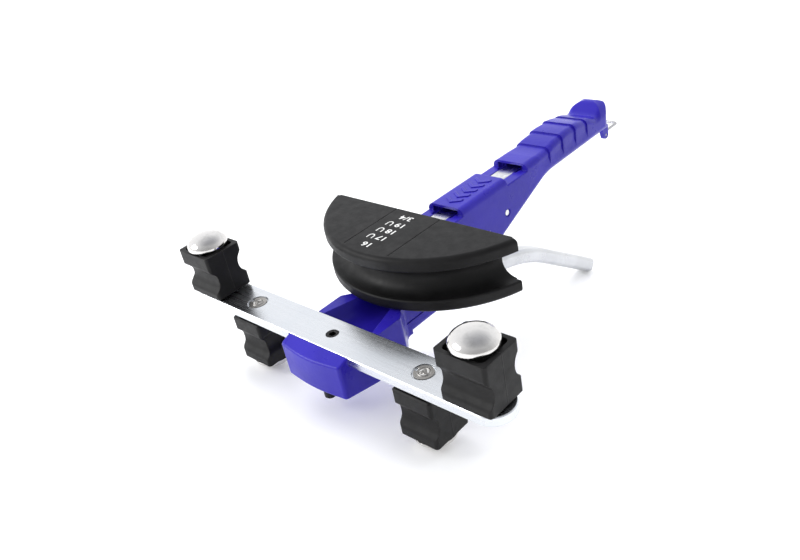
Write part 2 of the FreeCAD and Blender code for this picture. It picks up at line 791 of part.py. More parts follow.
def make_holder():
    """Steel block on the end of the toothed bar, a push fit in the former's back."""
    body = new_body("holder")
    centre = d.rack_bottom + d.rack_height / 2
    low, high = centre - d.holder_height / 2, centre + d.holder_height / 2
    pad(body, box_outline(new_sketch(body, "YZ"), d.holder_front, d.former_back - 0.2, low, high),
        d.holder_width, both=True)
    soften(body, "Chamfer", 1.0, lambda e: near(middle(e).y, d.holder_front))
    inner = box_outline(new_sketch(body, "YZ"), d.rack_start - 0.05, 100.0, d.rack_bottom - 0.02,
                        d.rack_bottom + d.rack_height + 0.02)
    pocket(body, inner, d.rack_width + 0.04, both=True)
    pocket(body, circle(new_sketch(body, "XY"), 0.0, 74.0, 2.02), 120.0, both=True)
    pocket(body, circle(new_sketch(body, "XY", high), 0.0, 80.5, 1.65), 3.3)
    return node(body, "former_holder")


def make_former():
    """Half-round bending former, modelled about its own axis."""
    body = new_body("former")
    pad(body, circle(new_sketch(body, "XY"), 0.0, 0.0, d.former_radius), d.former_thick)
    middle_height = d.tube_height - 0.8
    groove_radius = d.tube_radius + 0.1
    groove = outline(new_sketch(body, "XZ"), [
        (d.former_radius + 3.0, middle_height - groove_radius),
        (d.former_radius + 3.0, middle_height + groove_radius),
        (d.bend_radius - groove_radius, middle_height + groove_radius, groove_radius - 0.05),
        (d.bend_radius - groove_radius, middle_height - groove_radius, groove_radius - 0.05)])
    revolve(body, "Groove", groove, (groove, ["V_Axis"]))
    soften(body, "Fillet", d.former_lip_round, lambda e: near(e.BoundBox.XLength, d.former_radius * 2)
           and (near(middle(e).z, 0.0) or near(middle(e).z, d.former_thick)))
    soften(body, "Fillet", 1.0, lambda e: near(e.BoundBox.XLength, d.former_radius * 2)
           and abs(middle(e).z - middle_height.value) < 10.0)
    back = d.former_axis - d.former_back
    wide = d.former_radius + 5.0
    behind = box_outline(new_sketch(body, "XY", d.former_thick + 1.0), -wide, wide, -back, wide)
    pocket(body, behind, d.former_thick + 2.0)
    for side in (1, -1):
        tip = root(d.former_radius * d.former_radius - back * back)
        bevel = outline(new_sketch(body, "XY", d.former_thick + 1.0), [
            ((tip - 4.6) * side, -back - 1.0), ((tip + 2.0) * side, -back - 1.0),
            ((tip + 2.0) * side, 8.0 - back), ((tip - 2.0) * side, 8.0 - back)])
        pocket(body, bevel, d.former_thick + 2.0)
    socket = box_outline(new_sketch(body, "XZ", back), -d.holder_width / 2 - 0.15,
                         d.holder_width / 2 + 0.15, 11.9 + 0.15, 28.5 - 0.15)
    pocket(body, socket, d.former_back - d.holder_front + 0.3, flip=True)
    for side in (1, -1):
        x = d.mark_pitch * side
        mark = box_outline(new_sketch(body, "XY", d.former_thick), x - 0.3, x + 0.3, -back - 48.0, 5.0 - back)
        pocket(body, mark, 0.35)
    return node(body, "forming_former", Placement(Vector(0, d.former_axis.value, 0.8), Rotation()))


def make_detent_ball():
    ball = doc.addObject("Part::Sphere", "ball")
    ball.Radius = 1.6
    return node(ball, "detent_ball", Placement(Vector(0, 80.5, 27.45), Rotation()))


# ------------------------------------------------------------------ lever and pawls
CRANK_Y = d.pivot_place + d.crank_radius * sine(d.crank_angle)
CRANK_Z = d.pivot_height + d.crank_radius * cosine(d.crank_angle)


def make_lever():
    body = new_body("lever")
    path = outline(new_sketch(body, "YZ"), [
        (d.pivot_place + 1.0, d.pivot_height - 4.0), (131.5, -30.5, 16.0), (185.0, -44.0, 150.0), LEVER_TIP],
        closed=False)
    section = new_sketch(body, "XZ")
    # the section stands square to the start of the path
    lean = math.degrees(math.atan2(131.5 - (d.pivot_place + 1.0).value, 30.5 + (d.pivot_height - 4.0).value))
    section.AttachmentSupport = [([f for f in body.Origin.OriginFeatures if f.Role == "XY_Plane"][0], "")]
    section.AttachmentOffset = Placement(
        Vector(0, (d.pivot_place + 1.0).value, (d.pivot_height - 4.0).value), Rotation(Vector(1, 0, 0), lean))
    box_outline(section, -d.lever_width / 2, d.lever_width / 2, -d.lever_thick / 2, d.lever_thick / 2, 3.6)
    pipe = body.newObject("PartDesign::AdditivePipe", "arm")
    pipe.Profile = section
    pipe.Spine = (path, [])
    doc.recompute()
    eye = circle(new_sketch(body, "YZ"), d.pivot_place, d.pivot_height, 8.5)
    pad(body, eye, d.lever_width, both=True)
    crank = circle(new_sketch(body, "YZ"), CRANK_Y, CRANK_Z, 4.6)
    pad(body, crank, d.lever_width, both=True)
    tip = circle(new_sketch(body, "YZ"), LEVER_TIP[0], LEVER_TIP[1], d.lever_thick / 2)
    pad(body, tip, d.lever_width - 7.4, both=True)
    fork = box_outline(new_sketch(body, "YZ"), 100.0, 140.0, -12.6, 20.0)
    pocket(body, fork, d.fork_gap, both=True)
    pocket(body, circle(new_sketch(body, "YZ"), d.pivot_place, d.pivot_height, d.pivot_radius + d.running_gap),
           40.0, both=True)
    pocket(body, circle(new_sketch(body, "YZ"), CRANK_Y, CRANK_Z, d.pawl_pin_radius + 0.02), 40.0, both=True)
    return node(body, "lever")


def make_pawl(name, vertices, centre_y, centre_z, eye_radius, bore, thick):
    body = new_body(name + "_body")
    pad(body, outline(new_sketch(body, "YZ"), vertices), thick, both=True)
    pad(body, circle(new_sketch(body, "YZ"), centre_y, centre_z, eye_radius), thick, both=True)
    pocket(body, circle(new_sketch(body, "YZ"), centre_y, centre_z, bore), 40.0, both=True)
    return node(body, name)


def make_pawls():
    make_pawl("drive_pawl", [
        (102.4, 14.6), (103.2, 15.4), (108.0, 13.2), (127.0, 10.4), (135.4, 7.6), (135.4, 3.2),
        (127.0, 2.6), (118.0, 3.3), (102.8, 11.8)],
        CRANK_Y, CRANK_Z, 4.1, d.pawl_pin_radius + d.running_gap, d.pawl_thick)
    make_pawl("holding_pawl", [
        (137.5, 18.5), (137.8, 18.5), (141.6, 15.9), (157.0, 11.2), (161.0, 5.0), (168.0, 0.0),
        (173.6, -4.6), (172.6, -7.4), (167.0, -7.4), (156.0, 1.4), (149.0, 1.8), (137.2, 12.8)],
        d.catch_place, d.catch_height, 5.0, d.catch_pin_radius + d.running_gap, 7.0)


def make_pins_and_springs():
    node_pin("lever_pivot_pin", d.pivot_radius, d.body_width - 0.4, d.pivot_place, d.pivot_height)
    node_pin("holding_pawl_pin", d.catch_pin_radius, d.body_width - 0.9, d.catch_place, d.catch_height)
    node_pin("kick_off_pin", as_size(1.3), d.body_width - 0.6, as_size(134.5), as_size(1.2))
    node_pin("drive_pawl_pin", d.pawl_pin_radius, d.lever_width - 0.4, CRANK_Y, CRANK_Z)
    upright = cylinder("holder_pin_bar", 2.0, d.holder_height - 0.4, (0, 74.0, d.rack_bottom + d.rack_height / 2))
    node(upright, "holder_pin", upright.Placement)
    # each coil sits round its pin, beside or between the pieces that it turns
    springs = (("lever_spring", 4.6, 0.75, 1.7, 2.0, -1.7, d.pivot_place, d.pivot_height),
               ("drive_pawl_spring", 2.6, 0.3, 0.65, 1.0, 2.62, CRANK_Y, CRANK_Z),
               ("holding_pawl_spring", 3.1, 0.5, 1.15, 2.5, 4.3, d.catch_place, d.catch_height))
    for name, mean, wire, pitch, turns, start, place, height in springs:
        spot = Placement(Vector(start, place.value, height.value), TURN["x"])
        node(coil(name + "_coil", mean, wire, pitch, turns), name, spot)


def node_pin(name, radius, length, place, height):
    pin = cylinder(name + "_bar", radius, length, (0, place, height), "x")
    return node(pin, name, pin.Placement)


def make_keeper_loop():
    body = new_body("loop")
    end = d.loop_half_width + 4.4
    path = outline(new_sketch(body, "XY", d.loop_height), [
        (-end, d.loop_place), (-d.loop_half_width, d.loop_place, 1.8), (-d.loop_half_width, d.loop_reach, 2.4),
        (d.loop_half_width, d.loop_reach, 2.4), (d.loop_half_width, d.loop_place, 1.8), (end, d.loop_place)],
        closed=False)
    section = circle(new_sketch(body, "YZ", -end), d.loop_place, d.loop_height, d.loop_radius)
    pipe = body.newObject("PartDesign::AdditivePipe", "wire")
    pipe.Profile = section
    pipe.Spine = (path, [])
    doc.recompute()
    return node(body, "keeper_loop")


# ------------------------------------------------------------------ build, check, write
make_casting()
make_cross_bar()
make_fasteners()
make_centre_screw()
make_anchor_screw()
make_block("top_right_block", d.top_block_width, d.top_block_depth, d.outer_pitch, 1)
make_block("top_left_block", d.top_block_width, d.top_block_depth, -d.outer_pitch, 1)
make_block("low_right_block", d.low_block_width, d.low_block_depth, d.inner_pitch, -1)
make_block("low_left_block", d.low_block_width, d.low_block_depth, -d.inner_pitch, -1)
make_rack()
make_holder()
make_former()
make_detent_ball()
make_lever()
make_pawls()
make_pins_and_springs()
make_keeper_loop()
doc.recompute()

# origin: on the floor, below the middle of the whole tool
span = [thing.Shape.optimalBoundingBox(False, False) for thing in nodes]
back_shift = -(min(box.YMin for box in span) + max(box.YMax for box in span)) / 2
for thing in nodes:
    thing.Placement = Placement(Vector(0, back_shift, 0), Rotation()) * thing.Placement
doc.recompute()

for thing in doc.Objects:
    if "Invalid" in thing.State or "Error" in thing.State:
        raise RuntimeError(thing.Name + " (" + thing.Label + "): " + str(thing.State))

os.makedirs("parts", exist_ok=True)
for thing in nodes:
    shape = thing.Shape
    if shape.isNull() or not shape.isValid():
        raise RuntimeError(thing.Label + ": bad shape")
    shape.exportStep("parts/" + thing.Label + ".step")
    print("%-22s solids %d  volume %9.1f mm3" % (thing.Label, len(shape.Solids), shape.Volume))
print("nodes", len(nodes), " tilt", REST.Rotation.Angle, " lift", REST.Base.z, " shift", back_shift)
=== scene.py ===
import json
import math

import bmesh
import bpy
from mathutils import Matrix, Vector


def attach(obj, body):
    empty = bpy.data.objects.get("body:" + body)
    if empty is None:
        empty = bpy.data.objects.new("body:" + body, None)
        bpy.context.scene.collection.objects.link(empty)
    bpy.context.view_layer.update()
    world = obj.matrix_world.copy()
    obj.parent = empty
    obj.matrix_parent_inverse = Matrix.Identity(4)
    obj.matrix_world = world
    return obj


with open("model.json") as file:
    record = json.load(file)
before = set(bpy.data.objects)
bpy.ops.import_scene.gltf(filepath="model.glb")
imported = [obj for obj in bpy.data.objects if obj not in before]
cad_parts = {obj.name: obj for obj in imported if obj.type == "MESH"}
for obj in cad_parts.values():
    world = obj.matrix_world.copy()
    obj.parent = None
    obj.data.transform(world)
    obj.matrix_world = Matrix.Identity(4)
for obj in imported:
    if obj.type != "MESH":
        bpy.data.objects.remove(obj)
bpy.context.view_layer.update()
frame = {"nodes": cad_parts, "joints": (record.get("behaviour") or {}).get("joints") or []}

# A hand ratchet tube bender.  The CAD nodes keep their shapes and get their finishes here.  Peened pin
# ends, printed sizes and raised chevrons are added as pieces of their own.

# ------------------------------------------------------------------ frames
# The tool is modelled in its own frame: X along the cross bar, +Y to the grip, origin at the middle of
# the bar's top face.  TOOL lays it down as it rests on the floor.
MM = 0.001
BAR_TO_SWIVEL = 10.0


def tool_frame():
    """The tool's frame, from two swivel joints that stand the same distance above the bar."""
    joints = {joint["name"]: joint for joint in frame["joints"]}
    right, left = joints["top_right_swivel"], joints["top_left_swivel"]
    up = Vector(right["axis"])
    tilt = math.atan2(-up.y, up.z)
    origin = (Vector(right["pos_m"]) + Vector(left["pos_m"])) / 2 - up * BAR_TO_SWIVEL * MM
    return tilt, Matrix.Translation(origin) @ Matrix.Rotation(tilt, 4, "X")


TILT, TOOL = tool_frame()


def tool_box(name):
    """Lowest and highest corners of a CAD node in the tool's frame, in millimetres."""
    back = TOOL.inverted()
    points = [back @ vertex.co / MM for vertex in frame["nodes"][name].data.vertices]
    low = Vector([min(p[i] for p in points) for i in range(3)])
    high = Vector([max(p[i] for p in points) for i in range(3)])
    return low, high


# ------------------------------------------------------------------ camera
# The photograph's camera in the tool's frame, with its place in millimetres.
CAMERA_RIGHT = Vector((0.727, 0.664, -0.176))
CAMERA_DOWN = Vector((0.238, -0.483, -0.843))
CAMERA_FORWARD = Vector((-0.644, 0.571, -0.509))
CAMERA_PLACE = Vector((313.5, -217.8, 250.1))
SENSOR_WIDTH = 36.0
FOCAL_LENGTH = 35.09
# what the camera sees lies between these distances, in metres
NEAREST, FARTHEST = 0.01, 50.0


def add_camera():
    axes = Matrix((CAMERA_RIGHT, -CAMERA_DOWN, -CAMERA_FORWARD)).transposed().to_4x4()
    place = TOOL @ Matrix.Translation(CAMERA_PLACE * MM) @ axes
    location, rotation, _ = place.decompose()
    camera = bpy.data.objects.new("camera", bpy.data.cameras.new("camera"))
    camera.location = location
    camera.rotation_mode = "QUATERNION"
    camera.rotation_quaternion = rotation.normalized()
    camera.data.sensor_width = SENSOR_WIDTH
    camera.data.lens = FOCAL_LENGTH
    camera.data.clip_start = NEAREST
    camera.data.clip_end = FARTHEST
    bpy.context.scene.collection.objects.link(camera)
    bpy.context.scene.camera = camera


# ------------------------------------------------------------------ node helpers
EVEN = (1.0, 1.0, 1.0)
WHITE = (1.0, 1.0, 1.0)
# Noise stays within these values nearly everywhere, so they are its working range.
NOISE_LOW, NOISE_HIGH = 0.3, 0.7
BEVEL_SAMPLES = 4
SEAM_HALF, SEAM_FADE = 0.00012, 0.00035
SOCKETS = {
    "color": "Base Color", "metallic": "Metallic", "roughness": "Roughness", "coat": "Coat Weight",
    "coat_rough": "Coat Roughness", "specular": "Specular IOR Level",
    "glow": "Emission Color", "glow_strength": "Emission Strength",
}


class Shader:
    """One material's node tree, with short names for the nodes that every finish uses."""

    def __init__(self, name):
        self.material = bpy.data.materials.new(name)
        self.material.use_nodes = True
        self.tree = self.material.node_tree
        self.bsdf = self.tree.nodes["Principled BSDF"]
        self.coordinates = self.tree.nodes.new("ShaderNodeTexCoord").outputs["Object"]

    def node(self, kind, **values):
        node = self.tree.nodes.new("ShaderNode" + kind)
        for key, value in values.items():
            setattr(node, key, value)
        return node

    def link(self, output, socket):
        self.tree.links.new(output, socket)

    def scaled(self, scale):
        """Object coordinates stretched by a vector, then turned back by the tool's tilt."""
        mapping = self.node("Mapping")
        mapping.inputs["Scale"].default_value = scale
        mapping.inputs["Rotation"].default_value = (-TILT, 0.0, 0.0)
        self.link(self.coordinates, mapping.inputs["Vector"])
        return mapping.outputs["Vector"]

    def noise(self, scale, detail=2.0, rough=0.5, stretch=EVEN):
        """Noise whose scale is in features per metre."""
        noise = self.node("TexNoise")
        noise.inputs["Scale"].default_value = scale
        noise.inputs["Detail"].default_value = detail
        noise.inputs["Roughness"].default_value = rough
        self.link(self.scaled(stretch), noise.inputs["Vector"])
        return noise.outputs["Fac"]

    def spots(self, scale, feature="F1"):
        """Distance to the nearest of many scattered points, which number so many per metre."""
        cells = self.node("TexVoronoi", feature=feature)
        cells.inputs["Scale"].default_value = scale
        self.link(self.scaled(EVEN), cells.inputs["Vector"])
        return cells.outputs["Distance"]

    def ranged(self, value, low, high, out_low, out_high, smooth=False):
        """Value carried from one range to another, and held at its ends."""
        ramp = self.node("MapRange", clamp=True)
        if smooth:
            ramp.interpolation_type = "SMOOTHSTEP"
        self.link(value, ramp.inputs["Value"])
        for key, number in (("From Min", low), ("From Max", high), ("To Min", out_low), ("To Max", out_high)):
            ramp.inputs[key].default_value = number
        return ramp.outputs["Result"]

    def spread(self, noise, low, high):
        """Noise stretched from its working range to another range."""
        return self.ranged(noise, NOISE_LOW, NOISE_HIGH, low, high)

    def clouds(self, scale, detail=2.0, rough=0.5):
        """Soft patches between 0 and 1."""
        return self.ranged(self.noise(scale, detail, rough), NOISE_LOW, NOISE_HIGH, 0.0, 1.0, True)

    def math(self, operation, first, second):
        node = self.node("Math", operation=operation)
        for index, value in enumerate((first, second)):
            if isinstance(value, (int, float)):
                node.inputs[index].default_value = value
            else:
                self.link(value, node.inputs[index])
        return node.outputs["Value"]

    def mixed(self, factor, first, second):
        """Colour between two colours or sockets."""
        mix = self.node("Mix", data_type="RGBA")
        self.link(factor, mix.inputs["Factor"])
        for key, value in (("A", first), ("B", second)):
            socket = [s for s in mix.inputs if s.name == key and s.type == "RGBA"][0]
            if isinstance(value, (tuple, list)):
                socket.default_value = (*value, 1.0)
            else:
                self.link(value, socket)
        return [s for s in mix.outputs if s.type == "RGBA"][0]

    def edge(self, radius, low=0.75, high=0.99):
        """1 along sharp edges, 0 on flat ground, from how far a rounded normal leans from the true one."""
        bevel = self.node("Bevel", samples=BEVEL_SAMPLES)
        bevel.inputs["Radius"].default_value = radius
        geometry = self.node("NewGeometry")
        dot = self.node("VectorMath", operation="DOT_PRODUCT")
        self.link(bevel.outputs["Normal"], dot.inputs[0])
        self.link(geometry.outputs["Normal"], dot.inputs[1])
        return self.ranged(dot.outputs["Value"], low, high, 1.0, 0.0)

    def seam(self):
        """Thin raised line where the two halves of a mould met, in the tool's middle plane across the bar."""
        split = self.node("SeparateXYZ")
        moved = self.node("VectorMath", operation="SUBTRACT")
        moved.inputs[1].default_value = tuple(TOOL.translation)
        turned = self.node("Mapping")
        turned.inputs["Rotation"].default_value = (-TILT, 0.0, 0.0)
        self.link(self.coordinates, moved.inputs[0])
        self.link(moved.outputs["Vector"], turned.inputs["Vector"])
        self.link(turned.outputs["Vector"], split.inputs["Vector"])
        distance = self.math("ABSOLUTE", split.outputs["Y"], 0.0)
        return self.ranged(distance, SEAM_HALF, SEAM_FADE, 1.0, 0.0, True)

    def bumps(self, layers, radius=0.0003):
        """Stack of bump layers (height socket, distance in metres) over softly rounded edges."""
        bevel = self.node("Bevel", samples=BEVEL_SAMPLES)
        bevel.inputs["Radius"].default_value = radius
        normal = bevel.outputs["Normal"]
        for height, distance in layers:
            bump = self.node("Bump")
            bump.inputs["Strength"].default_value = 1.0
            bump.inputs["Distance"].default_value = distance
            self.link(height, bump.inputs["Height"])
            self.link(normal, bump.inputs["Normal"])
            normal = bump.outputs["Normal"]
        self.link(normal, self.bsdf.inputs["Normal"])

    def finish(self, **values):
        """Sets the shader's sockets, each to a number, a colour or another node's output."""
        for key, value in values.items():
            socket = self.bsdf.inputs[SOCKETS[key]]
            if isinstance(value, (int, float)):
                socket.default_value = value
            elif isinstance(value, (tuple, list)):
                socket.default_value = (*value, 1.0)
            else:
                self.link(value, socket)
        return self.material


# ------------------------------------------------------------------ finishes
def blue_enamel():
    """Stoved enamel over a die casting: orange peel, faint colour drift, and a painted highlight of lighter
    blue along sharp edges.
    """
    s = Shader("blue_enamel")
    drift = s.ranged(s.noise(28.0, 3.0), 0.35, 0.65, 0.0, 1.0, True)
    color = s.mixed(drift, (0.020, 0.011, 0.345), (0.027, 0.016, 0.400))
    # painted highlight: sharp edges are mixed towards a lighter blue, standing in for the reflection they
    # catch
    color = s.mixed(s.edge(0.0005), color, (0.055, 0.042, 0.50))
    dust = s.ranged(s.spots(900.0), 0.0, 0.06, 1.0, 0.0)
    color = s.mixed(s.math("MULTIPLY", dust, 0.3), color, (0.10, 0.09, 0.45))
    rough = s.spread(s.noise(60.0, 4.0, 0.6), 0.26, 0.38)
    s.bumps([(s.noise(420.0, 1.0), 0.00006), (s.noise(2600.0, 2.0), 0.000008)], 0.0006)
    return s.finish(color=color, metallic=0.0, roughness=rough, coat=0.10, coat_rough=0.07, specular=0.20)


def black_nylon(name, seam=False):
    """Glass-filled nylon: fine moulded grain, paler along sharp edges, and a mould line on blocks."""
    s = Shader(name)
    mottle = s.clouds(55.0, 5.0, 0.62)
    color = s.mixed(mottle, (0.0040, 0.0038, 0.0040), (0.0080, 0.0077, 0.0079))
    color = s.mixed(s.edge(0.0006, 0.7, 0.98), color, (0.030, 0.029, 0.029))
    fleck = s.ranged(s.spots(1500.0), 0.0, 0.12, 1.0, 0.0)
    color = s.mixed(s.math("MULTIPLY", fleck, 0.4), color, (0.045, 0.044, 0.043))
    rough = s.spread(s.noise(160.0, 4.0, 0.6), 0.42, 0.56)
    layers = [(s.noise(900.0, 3.0, 0.6), 0.00005), (s.spots(2400.0, "SMOOTH_F1"), 0.00002)]
    if seam:
        layers.append((s.seam(), 0.00022))
    s.bumps(layers, 0.0007)
    return s.finish(color=color, metallic=0.0, roughness=rough, specular=0.23)


def plated_bar():
    """Zinc-plated flat bar, brushed along its length, with faint handling marks."""
    s = Shader("plated_bar")
    grain = s.noise(700.0, 4.0, 0.65, (0.02, 1.0, 1.0))
    cloud = s.clouds(26.0, 4.0, 0.6)
    color = s.mixed(cloud, (0.69, 0.715, 0.75), (0.75, 0.765, 0.79))
    color = s.mixed(s.ranged(grain, 0.35, 0.8, 0.0, 0.16), color, (0.58, 0.595, 0.63))
    rough = s.math("ADD", s.spread(grain, 0.20, 0.28), s.ranged(cloud, 0.0, 1.0, 0.0, 0.05))
    scratch = s.noise(2600.0, 2.0, 0.6, (0.01, 1.0, 1.0))
    s.bumps([(grain, 0.000006), (scratch, 0.000003)], 0.0004)
    return s.finish(color=color, metallic=1.0, roughness=rough)


def chrome():
    """Polished plating with a slightly wavy skin and a few smudges."""
    s = Shader("chrome")
    smudge = s.ranged(s.noise(120.0, 4.0, 0.6), 0.45, 0.75, 0.0, 1.0, True)
    color = s.mixed(smudge, (0.70, 0.685, 0.67), (0.58, 0.57, 0.555))
    rough = s.ranged(smudge, 0.0, 1.0, 0.10, 0.18)
    s.bumps([(s.noise(200.0, 2.0), 0.00004), (s.noise(1800.0, 2.0), 0.000005)], 0.0004)
    return s.finish(color=color, metallic=1.0, roughness=rough)


def steel(name, color, low, high, grain_scale=900.0, stretch=(1.0, 0.03, 1.0), dark=0.6):
    """Ground, drawn or oiled steel: a colour, a range of roughness, and the run and depth of its grain."""
    s = Shader(name)
    grain = s.noise(grain_scale, 4.0, 0.6, stretch)
    cloud = s.clouds(70.0, 3.0)
    base = s.mixed(cloud, tuple(c * 0.88 for c in color), color)
    base = s.mixed(s.ranged(grain, 0.4, 0.8, 0.0, 0.5), base, tuple(c * dark for c in color))
    rough = s.math("ADD", s.spread(grain, low, high), s.ranged(cloud, 0.0, 1.0, 0.0, 0.05))
    s.bumps([(grain, 0.00001), (s.noise(3200.0, 2.0), 0.000004)], 0.0003)
    return s.finish(color=base, metallic=1.0, roughness=rough)


def black_oxide():
    """Blackened screw steel, bare along its edges."""
    s = Shader("black_oxide")
    cloud = s.clouds(300.0, 3.0)
    color = s.mixed(cloud, (0.012, 0.012, 0.013), (0.032, 0.031, 0.031))
    color = s.mixed(s.edge(0.0004), color, (0.16, 0.155, 0.15))
    s.bumps([(s.noise(1500.0, 2.0), 0.00001)], 0.0003)
    return s.finish(color=color, metallic=0.85, roughness=s.ranged(cloud, 0.0, 1.0, 0.34, 0.46))


def white_print():
    """White pad-printing ink, a little worn."""
    s = Shader("white_print")
    worn = s.ranged(s.noise(1600.0, 3.0, 0.7), 0.35, 0.6, 0.0, 1.0, True)
    color = s.mixed(worn, (0.70, 0.70, 0.69), (0.84, 0.84, 0.83))
    s.bumps([(s.noise(2400.0, 2.0), 0.000008)], 0.0001)
    return s.finish(color=color, metallic=0.0, roughness=s.ranged(worn, 0.0, 1.0, 0.42, 0.6))


def floor_finish():
    """Pale translucent board with a dull sheen, lit a little from below."""
    s = Shader("floor_board")
    cloud = s.clouds(2.2, 3.0)
    color = s.mixed(cloud, (0.915, 0.917, 0.920), (0.930, 0.931, 0.934))
    rough = s.spread(s.noise(9.0, 3.0), 0.28, 0.36)
    s.bumps([(s.noise(350.0, 2.0), 0.00001)], 0.0001)
    return s.finish(color=color, metallic=0.0, roughness=rough, specular=0.35, glow=WHITE,
                    glow_strength=0.15)


def paint_nodes():
    """Gives every CAD node its finish, then adds the pieces that share those finishes."""
    enamel = blue_enamel()
    nylon = black_nylon("black_nylon")
    moulded = black_nylon("moulded_nylon", True)
    oxide = black_oxide()
    chromed = chrome()
    ground = steel("ground_steel", (0.80, 0.80, 0.81), 0.10, 0.24)
    pin = steel("pin_steel", (0.78, 0.78, 0.78), 0.14, 0.26, 1200.0, EVEN)
    ring = steel("ring_steel", (0.40, 0.385, 0.365), 0.22, 0.36, 1200.0, EVEN)
    oiled = steel("oiled_steel", (0.20, 0.19, 0.18), 0.28, 0.42, 700.0, EVEN)
    spring = steel("spring_steel", (0.45, 0.45, 0.46), 0.22, 0.34, 1500.0, EVEN)
    satin = steel("lever_plate", (0.62, 0.63, 0.65), 0.24, 0.34, 600.0, (1.0, 0.04, 0.04), 0.88)
    wire = steel("zinc_wire", (0.52, 0.52, 0.53), 0.2, 0.3, 1200.0, (1.0, 0.05, 1.0))
    finishes = {
        "body_casting": enamel, "cross_bar": plated_bar(), "domed_pins": chromed, "retaining_rings": ring,
        "block_washers": nylon, "centre_screw": oxide, "anchor_screw": oxide,
        "top_right_block": moulded, "top_left_block": moulded, "low_right_block": moulded,
        "low_left_block": moulded,
        "rack_bar": ground, "former_holder": ground, "forming_former": nylon, "detent_ball": chromed,
        "lever": satin, "drive_pawl": oiled, "holding_pawl": oiled, "lever_pivot_pin": pin,
        "holding_pawl_pin": pin, "kick_off_pin": pin, "drive_pawl_pin": pin, "holder_pin": pin,
        "lever_spring": spring, "drive_pawl_spring": spring, "holding_pawl_spring": spring,
        "keeper_loop": wire,
    }
    for name, material in finishes.items():
        for material_slot in frame["nodes"][name].material_slots:
            material_slot.material = material
    add_pin_ends(ring)
    add_size_marks(white_print())
    add_bridge_chevrons(enamel)


# ------------------------------------------------------------------ added pieces
def add_piece(name, bm, body, material, smooth=True):
    """Turns a mesh drawn in millimetres in the tool's frame into a piece that rides on a body."""
    bmesh.ops.recalc_face_normals(bm, faces=bm.faces)
    bm.transform(TOOL @ Matrix.Scale(MM, 4))
    mesh = bpy.data.meshes.new(name)
    bm.to_mesh(mesh)
    bm.free()
    for face in mesh.polygons:
        face.use_smooth = smooth
    mesh.materials.append(material)
    piece = bpy.data.objects.new(name, mesh)
    bpy.context.scene.collection.objects.link(piece)
    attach(piece, body)
    return piece


# Peened ends, in millimetres: the place of each pin along X and the side of the bar that its end shows
# on, then the size of an end, how deep its foot lies and how high its face and rim stand over the foot.
PIN_ENDS = ((71.2, 1), (-71.2, 1), (110.0, -1), (-110.0, -1))
END_RADIUS = 3.86
END_TURNS = 72
END_STEPS = 22
END_SINK = 0.42
END_FACE = 0.30
END_RIM = 0.12
BAR_THICK = 6.0
# relief of a peened end: heights, the radii they lie at and how fast they fall off, in millimetres
RIDGE_HEIGHT, RIDGE_RADIUS, RIDGE_WIDTH = 0.42, 3.25, 0.34
CROWN_HEIGHT, CROWN_RADIUS, CROWN_FADE = 0.52, 1.75, 0.12
DIMPLE_DEPTH, DIMPLE_RADIUS = 0.30, 0.62
# lobes of the crown's outline: share of its radius, number round the pin, phase
LOBES = ((0.24, 3.0, 0.6), (0.08, 7.0, 0.0))


def end_height(radius, angle):
    """Height of a peened pin end: an outer ridge round a squashed, lobed middle."""
    ridge = math.exp(-((radius - RIDGE_RADIUS) / RIDGE_WIDTH) ** 2) * RIDGE_HEIGHT
    lobes = sum(size * math.cos(count * angle + phase) for size, count, phase in LOBES)
    outline = CROWN_RADIUS * (1.0 + lobes)
    crown = CROWN_HEIGHT / (1.0 + math.exp((radius - outline) / CROWN_FADE))
    dimple = -DIMPLE_DEPTH * math.exp(-(radius / DIMPLE_RADIUS) ** 2)
    return ridge + crown + dimple


def add_pin_ends(material):
    """Peened ends of the four swivel pins, flush with the bar on the side away from each block."""
    for number, (place, side) in enumerate(PIN_ENDS):
        level = -END_SINK if side > 0 else END_SINK - BAR_THICK
        bm = bmesh.new()
        rings = []
        for step in range(1, END_STEPS + 1):
            radius = END_RADIUS * step / END_STEPS
            ring = []
            for turn in range(END_TURNS):
                angle = 2.0 * math.pi * turn / END_TURNS
                height = end_height(radius, angle + number) if step < END_STEPS else END_RIM
                ring.append(bm.verts.new((place + radius * math.cos(angle), radius * math.sin(angle),
                                          level + side * (END_FACE + height))))
            rings.append(ring)
        foot = [bm.verts.new((v.co.x, v.co.y, level)) for v in rings[-1]]
        rings.append(foot)
        for inner, outer in zip(rings, rings[1:]):
            for i in range(END_TURNS):
                j = (i + 1) % END_TURNS
                bm.faces.new((inner[i], inner[j], outer[j], outer[i]))
        centre = bm.verts.new((place, 0.0, level + side * (END_FACE + end_height(0.0, 0.0))))
        base = bm.verts.new((place, 0.0, level))
        for i in range(END_TURNS):
            j = (i + 1) % END_TURNS
            bm.faces.new((centre, rings[0][i], rings[0][j]))
            bm.faces.new((base, foot[i], foot[j]))
        add_piece("peened_end_%d" % number, bm, "frame", material)


# Each row of print, in millimetres: place along Y, place along X, figures, whether a U mark follows.
PRINT_ROWS = (
    (77.8, 2.1, "3/4", False), (68.9, 3.9, "19", True), (60.5, 3.9, "18", True), (52.1, 3.9, "17", True),
    (42.7, 0.6, "16", False),
)
PRINT_SIZE = 6.5
PRINT_WIDTH = 1.22
PRINT_BOLD = 0.09
PRINT_THICK = 0.05
PRINT_BASE = 2.4
PRINT_SMOOTHNESS = 4
MARK_PLACE = (12.4, 0.0)
MARK_INNER, MARK_OUTER, MARK_LEG = 1.55, 2.25, 2.6
MARK_STEPS = 16


def text_mesh(text, size):
    """Flat letters as a mesh, baseline along +X from the origin."""
    curve = bpy.data.curves.new("digits", "FONT")
    curve.body = text
    curve.size = size
    curve.extrude = PRINT_THICK
    curve.offset = PRINT_BOLD
    curve.resolution_u = PRINT_SMOOTHNESS
    holder = bpy.data.objects.new("digits", curve)
    mesh = bpy.data.meshes.new_from_object(holder)
    bpy.data.objects.remove(holder)
    bpy.data.curves.remove(curve)
    return mesh


